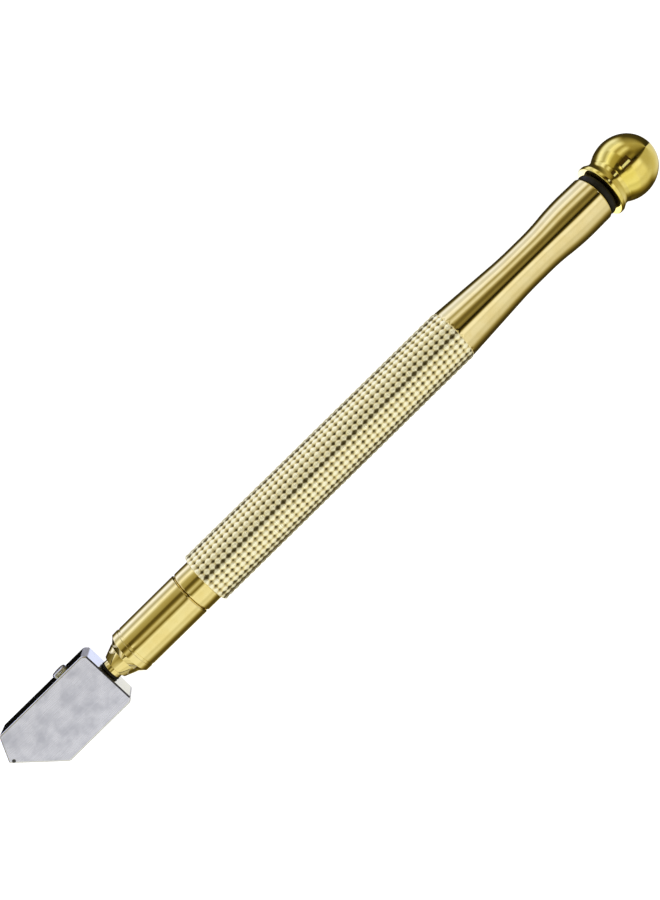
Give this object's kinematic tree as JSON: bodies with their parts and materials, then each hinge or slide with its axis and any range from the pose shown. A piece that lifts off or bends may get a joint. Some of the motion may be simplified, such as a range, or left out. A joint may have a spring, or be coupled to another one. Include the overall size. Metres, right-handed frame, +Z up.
{
  "type": "glass cutter",
  "caption": "Pencil-type oil-feed glass cutter: knurled brass reservoir handle, screw-on ball cap and a swivelling steel head with a cutting wheel.",
  "frame": {"origin": "on the surface that the tool lies on, under the tool axis, midway between its two ends", "axes": "+X along the tool axis from the cutting head to the ball cap, +Y towards the narrow side of the head that holds the screw, +Z up, square to the wide faces of the head"},
  "size_m": [0.1787, 0.0145, 0.0136],
  "materials": {
    "polished_brass": "polished and clear coated",
    "plain_brass": "turned",
    "satin_steel": "ground satin",
    "screw_steel": "turned",
    "dark_steel": "blackened",
    "hard_metal": "ground",
    "bearing_steel": "polished ball",
    "spring_steel": "drawn wire",
    "black_rubber": "moulded, slightly oiled",
    "wick_felt": "felted cotton"
  },
  "bodies": {
    "handle": {"barrel": "polished_brass", "nose_sleeve": "polished_brass", "seam_gasket": "black_rubber", "valve_seat": "plain_brass", "seat_seal": "black_rubber", "valve_spring": "spring_steel", "spring_retainer": "plain_brass"},
    "valve_ball": {"valve_ball": "bearing_steel"},
    "stem": {"stem": "polished_brass", "stem_seal": "black_rubber", "neck_ring": "black_rubber"},
    "head": {"head_block": "satin_steel", "head_screw": "screw_steel", "wheel_axle": "dark_steel", "oil_wick": "wick_felt"},
    "wheel": {"cutting_wheel": "hard_metal"},
    "cap_seal": {"cap_seal": "black_rubber"},
    "cap": {"ball_cap": "polished_brass"}
  },
  "joints": [
    {"name": "head_press", "type": "slide", "parent": "handle", "child": "stem", "axis": [1, 0, 0], "range_m": [0, 0.0006], "stiffness_N_per_m": 500, "springref_m": -0.0025},
    {"name": "valve_lift", "type": "slide", "parent": "handle", "child": "valve_ball", "axis": [1, 0, 0], "range_m": [0, 0.0006], "deforming": ["valve_spring"]},
    {"name": "head_swivel", "type": "hinge", "parent": "stem", "child": "head", "pos_m": [-0.0702, 0, 0.0068], "axis": [1, 0, 0], "continuous": true},
    {"name": "wheel_spin", "type": "hinge", "parent": "head", "child": "wheel", "pos_m": [-0.0881, 0.0012, 0.0068], "axis": [0, 0, 1], "continuous": true},
    {"name": "cap_lift", "type": "slide", "parent": "handle", "child": "cap_seal", "axis": [1, 0, 0], "range_m": [0, 0.007]},
    {"name": "cap_turn", "type": "hinge", "parent": "cap_seal", "child": "cap", "pos_m": [0.0823, 0, 0.0068], "axis": [1, 0, 0], "range_deg": [0, 2520]}
  ],
  "couplings": [
    {"joint": "valve_lift", "follows": "head_press", "ratio": 1},
    {"joint": "cap_turn", "follows": "cap_lift", "rad_per_m": 6283.2}
  ]
}
